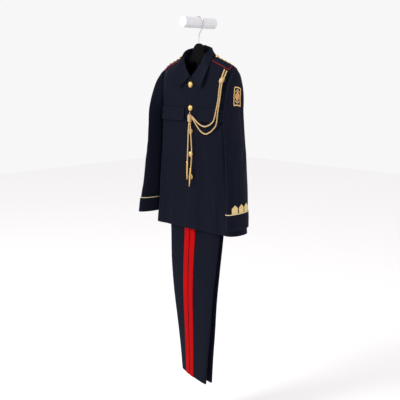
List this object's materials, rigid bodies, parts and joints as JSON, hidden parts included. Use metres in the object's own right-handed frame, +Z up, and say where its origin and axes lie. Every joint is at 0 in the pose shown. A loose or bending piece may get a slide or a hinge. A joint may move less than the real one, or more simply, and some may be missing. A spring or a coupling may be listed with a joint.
{
  "type": "communion uniform on a hanger and wall peg",
  "caption": "Child's navy dress jacket and trousers on a hanger from a wall peg, with collar, epaulettes, domed buttons, gold shoulder cord, turned-back cuffs, arm badge and red side bands.",
  "frame": {"origin": "centre of the wall peg's back face, on the wall", "axes": "+Z up, +Y into the wall, +X to the right of a viewer who faces the garment"},
  "size_m": [0.478, 0.1694, 1.2638],
  "materials": {
    "navy_wool": "dark navy wool twill with a soft nap",
    "navy_trim": "dark navy wool on a stiff backing",
    "red_band": "bright red woven band, matte",
    "red_piping": "dark red corded edge",
    "gold_braid": "gold and cream metallic braid",
    "badge_embroidery": "gold and orange embroidery on dark cloth",
    "gold_cord": "twisted old gold rayon cord",
    "gold_metal": "polished gilt metal",
    "steel_wire": "bright plated wire",
    "black_plastic": "smooth black moulded plastic",
    "pale_paint": "pale grey satin paint"
  },
  "bodies": {
    "root": {"jacket_back": "navy_wool", "jacket_front_left": "navy_wool", "jacket_front_right": "navy_wool", "sleeve_left": "navy_wool", "sleeve_right": "navy_wool", "cuff_left": "navy_wool", "cuff_right": "navy_wool", "collar": "navy_wool", "pocket_flap_left": "navy_wool", "pocket_flap_right": "navy_wool", "trouser_leg_left": "navy_wool", "trouser_leg_right": "navy_wool", "trouser_seat": "navy_wool", "epaulette_left": "navy_trim", "epaulette_right": "navy_trim", "waistband": "navy_trim", "side_band_left_front": "red_band", "side_band_left_back": "red_band", "side_band_right_front": "red_band", "side_band_right_back": "red_band", "epaulette_piping_left": "red_piping", "epaulette_piping_right": "red_piping", "cuff_piping_left": "gold_braid", "cuff_piping_right": "gold_braid", "cuff_bar_left_1": "gold_braid", "cuff_bar_left_2": "gold_braid", "cuff_bar_left_3": "gold_braid", "cuff_bar_right_1": "gold_braid", "cuff_bar_right_2": "gold_braid", "cuff_bar_right_3": "gold_braid", "arm_badge": "badge_embroidery", "cord_front": "gold_cord", "cord_back": "gold_cord", "cord_loop": "gold_cord", "cord_knot": "gold_cord", "cord_slider": "gold_cord", "pendant_left": "gold_cord", "pendant_right": "gold_cord", "front_button_1": "gold_metal", "front_button_2": "gold_metal", "front_button_3": "gold_metal", "front_button_4": "gold_metal", "front_button_5": "gold_metal", "epaulette_button_left": "gold_metal", "epaulette_button_right": "gold_metal", "epaulette_star_left_1": "gold_metal", "epaulette_star_left_2": "gold_metal", "epaulette_star_left_3": "gold_metal", "epaulette_star_right_1": "gold_metal", "epaulette_star_right_2": "gold_metal", "epaulette_star_right_3": "gold_metal", "pendant_tip_left": "gold_metal", "pendant_tip_right": "gold_metal", "hanger_hook": "steel_wire", "hanger_body": "black_plastic", "clip_left_front": "black_plastic", "clip_left_back": "black_plastic", "clip_right_front": "black_plastic", "clip_right_back": "black_plastic", "wall_peg": "pale_paint"}
  },
  "joints": []
}
